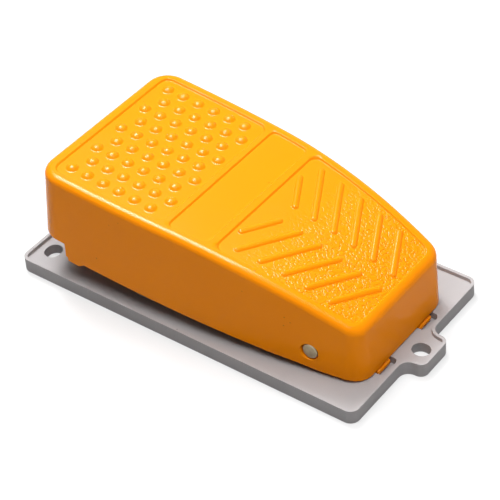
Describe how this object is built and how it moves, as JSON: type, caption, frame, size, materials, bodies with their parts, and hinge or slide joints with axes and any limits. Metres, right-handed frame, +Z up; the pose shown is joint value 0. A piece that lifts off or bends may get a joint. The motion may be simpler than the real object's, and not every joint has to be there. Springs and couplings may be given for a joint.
{
  "type": "industrial foot switch",
  "caption": "Industrial foot switch: a cast pedal with domes and chevron bars, hinged on a cast base plate over a covered snap-action switch.",
  "frame": {"origin": "centre of the plate's length and width, without the toe tab, on the underside of the base", "axes": "+X towards the toe tab and the hinge, +Y across the pedal to the left of someone facing +X, +Z up out of the floor"},
  "size_m": [0.1786, 0.092, 0.0567],
  "materials": {
    "amber_paint": "gloss",
    "grey_paint": "satin",
    "zinc_steel": "satin",
    "sheet_steel": "satin",
    "spring_steel": "satin",
    "bronze": "satin",
    "brass": "satin",
    "black_plastic": "matte",
    "phenolic": "satin",
    "nylon": "matte",
    "red_plastic": "satin",
    "rubber": "matte"
  },
  "bodies": {
    "base": {"base_casting": "grey_paint", "hinge_bushes": "bronze", "compartment_gasket": "rubber", "compartment_cover": "sheet_steel", "cover_screws": "zinc_steel", "switch_bracket": "sheet_steel", "bracket_screws": "zinc_steel", "switch_case": "phenolic", "switch_cover": "phenolic", "switch_screws": "zinc_steel", "switch_nuts": "zinc_steel", "switch_terminals": "brass", "lever_pin": "sheet_steel", "earth_washer": "brass", "earth_screw": "brass", "gland_body": "black_plastic", "gland_locknut": "black_plastic", "gland_seal": "rubber", "gland_cap": "black_plastic", "return_springs": "spring_steel"},
    "pedal": {"pedal_casting": "amber_paint", "hinge_pin": "zinc_steel", "pin_clips": "spring_steel", "thrust_washers": "nylon", "actuator_screw": "zinc_steel", "actuator_locknut": "zinc_steel"},
    "lever": {"switch_lever": "sheet_steel"},
    "plunger": {"switch_plunger": "red_plastic"}
  },
  "joints": [
    {"name": "pedal_hinge", "type": "hinge", "parent": "base", "child": "pedal", "pos_m": [0.0565, 0, 0.0153], "axis": [0, -1, 0], "range_deg": [0, 4.6], "stiffness_Nm_per_rad": 34, "springref_deg": -3.44, "deforming": ["return_springs"]},
    {"name": "lever_hinge", "type": "hinge", "parent": "base", "child": "lever", "pos_m": [-0.0032, 0, 0.0278], "axis": [0, 1, 0], "range_deg": [0, 8.4]},
    {"name": "plunger_slide", "type": "slide", "parent": "base", "child": "plunger", "axis": [0, 0, -1], "range_m": [0, 0.00115]}
  ],
  "couplings": [
    {"joint": "lever_hinge", "follows": "pedal_hinge", "ratio": 1.8},
    {"joint": "plunger_slide", "follows": "pedal_hinge", "m_per_rad": 0.0137}
  ]
}
